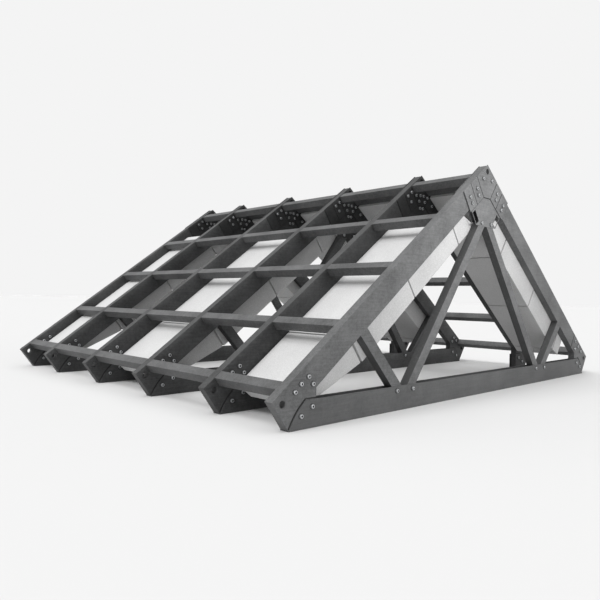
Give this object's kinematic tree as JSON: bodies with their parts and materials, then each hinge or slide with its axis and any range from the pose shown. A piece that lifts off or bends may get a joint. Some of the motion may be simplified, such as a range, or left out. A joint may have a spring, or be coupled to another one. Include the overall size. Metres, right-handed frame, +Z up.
{
  "type": "roof truss frame",
  "caption": "Pitched roof frame of dark steel trusses, every second one with webs, with bolted ridge plates, purlins, and pale boards hung in alternate bays",
  "frame": {"origin": "on the floor under the middle of the frame", "axes": "+X along the span, +Y along the ridge away from the front gable, +Z up"},
  "size_m": [3.2772, 2.756, 1.328],
  "materials": {
    "charcoal_steel": "satin charcoal paint",
    "charcoal_plate": "satin charcoal paint",
    "pale_board": "matte pale grey"
  },
  "bodies": {
    "root": {"top_chord_left_1": "charcoal_steel", "top_chord_right_1": "charcoal_steel", "ridge_gussets_1": "charcoal_plate", "ridge_covers_1": "charcoal_plate", "top_chord_left_2": "charcoal_steel", "top_chord_right_2": "charcoal_steel", "ridge_gussets_2": "charcoal_plate", "ridge_covers_2": "charcoal_plate", "top_chord_left_3": "charcoal_steel", "top_chord_right_3": "charcoal_steel", "ridge_gussets_3": "charcoal_plate", "ridge_covers_3": "charcoal_plate", "top_chord_left_4": "charcoal_steel", "top_chord_right_4": "charcoal_steel", "ridge_gussets_4": "charcoal_plate", "ridge_covers_4": "charcoal_plate", "top_chord_left_5": "charcoal_steel", "top_chord_right_5": "charcoal_steel", "ridge_gussets_5": "charcoal_plate", "ridge_covers_5": "charcoal_plate", "top_chord_left_6": "charcoal_steel", "top_chord_right_6": "charcoal_steel", "ridge_gussets_6": "charcoal_plate", "ridge_covers_6": "charcoal_plate", "bottom_chord_1": "charcoal_steel", "webs_1": "charcoal_steel", "heel_channels_2": "charcoal_steel", "bottom_chord_3": "charcoal_steel", "webs_3": "charcoal_steel", "heel_channels_4": "charcoal_steel", "bottom_chord_5": "charcoal_steel", "webs_5": "charcoal_steel", "heel_channels_6": "charcoal_steel", "ridge_purlins_left": "charcoal_steel", "ridge_purlins_right": "charcoal_steel", "upper_purlins_left": "charcoal_steel", "upper_purlins_right": "charcoal_steel", "middle_purlins_left": "charcoal_steel", "middle_purlins_right": "charcoal_steel", "lower_purlins_left": "charcoal_steel", "lower_purlins_right": "charcoal_steel", "eave_purlins_left": "charcoal_steel", "eave_purlins_right": "charcoal_steel", "boards_left_bay_1": "pale_board", "boards_right_bay_1": "pale_board", "boards_left_bay_3": "pale_board", "boards_right_bay_3": "pale_board", "boards_left_bay_5": "pale_board", "boards_right_bay_5": "pale_board", "ridge_boards": "pale_board"}
  },
  "joints": []
}
